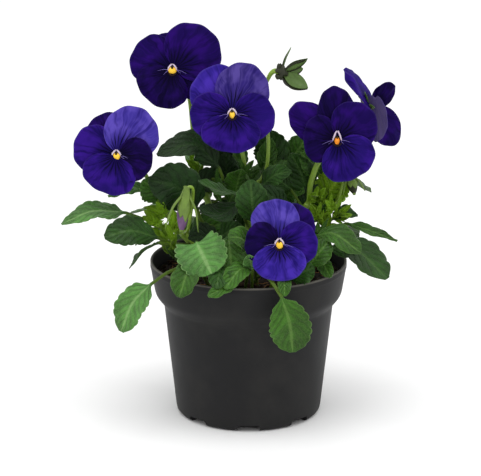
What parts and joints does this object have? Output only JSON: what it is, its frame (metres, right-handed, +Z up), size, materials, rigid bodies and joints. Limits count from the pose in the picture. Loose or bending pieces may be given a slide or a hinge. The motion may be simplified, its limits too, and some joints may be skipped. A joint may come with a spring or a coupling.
{
  "type": "potted pansy planter",
  "caption": "Flowering pansy in a tapered round nursery pot: violet flowers on hooked stalks, buds, crenate leaves on leafy shoots, and compost below an open rim.",
  "frame": {"origin": "centre of the pot's flat underside", "axes": "+Z up along the pot's axis, the open flowers face -Y, +X to the right as seen from the flowers' side"},
  "size_m": [0.203, 0.1348, 0.2385],
  "materials": {
    "pot": "satin, finely textured charcoal plastic",
    "soil": "dark fibrous potting compost",
    "stem": "smooth yellow-green stem",
    "leaf": "soft semi-matte green leaf",
    "petal": "velvety violet-blue petal"
  },
  "bodies": {
    "root": {"bud_left": "stem", "bud_right": "stem", "bud_top": "stem", "flower_far_right_lateral_left": "petal", "flower_far_right_lateral_right": "petal", "flower_far_right_lip": "petal", "flower_far_right_stalk": "stem", "flower_far_right_upper_left": "petal", "flower_far_right_upper_right": "petal", "flower_front_lateral_left": "petal", "flower_front_lateral_right": "petal", "flower_front_lip": "petal", "flower_front_stalk": "stem", "flower_front_upper_left": "petal", "flower_front_upper_right": "petal", "flower_left_lateral_left": "petal", "flower_left_lateral_right": "petal", "flower_left_lip": "petal", "flower_left_stalk": "stem", "flower_left_upper_left": "petal", "flower_left_upper_right": "petal", "flower_right_lateral_left": "petal", "flower_right_lateral_right": "petal", "flower_right_lip": "petal", "flower_right_stalk": "stem", "flower_right_upper_left": "petal", "flower_right_upper_right": "petal", "flower_top_left_lateral_left": "petal", "flower_top_left_lateral_right": "petal", "flower_top_left_lip": "petal", "flower_top_left_stalk": "stem", "flower_top_left_upper_left": "petal", "flower_top_left_upper_right": "petal", "flower_top_middle_lateral_left": "petal", "flower_top_middle_lateral_right": "petal", "flower_top_middle_lip": "petal", "flower_top_middle_stalk": "stem", "flower_top_middle_upper_left": "petal", "flower_top_middle_upper_right": "petal", "leaf_arching": "leaf", "leaf_back": "leaf", "leaf_behind_stalks": "leaf", "leaf_broad_right": "leaf", "leaf_dark_front": "leaf", "leaf_dark_left": "leaf", "leaf_dark_right": "leaf", "leaf_drooping_front": "leaf", "leaf_drooping_left": "leaf", "leaf_far_left": "leaf", "leaf_far_right": "leaf", "leaf_left": "leaf", "leaf_round_front": "leaf", "leaf_upright": "leaf", "pot": "pot", "shoot_back_left": "stem", "shoot_back_right": "stem", "shoot_left": "stem", "shoot_middle": "stem", "shoot_right": "stem", "soil": "soil"}
  },
  "joints": []
}
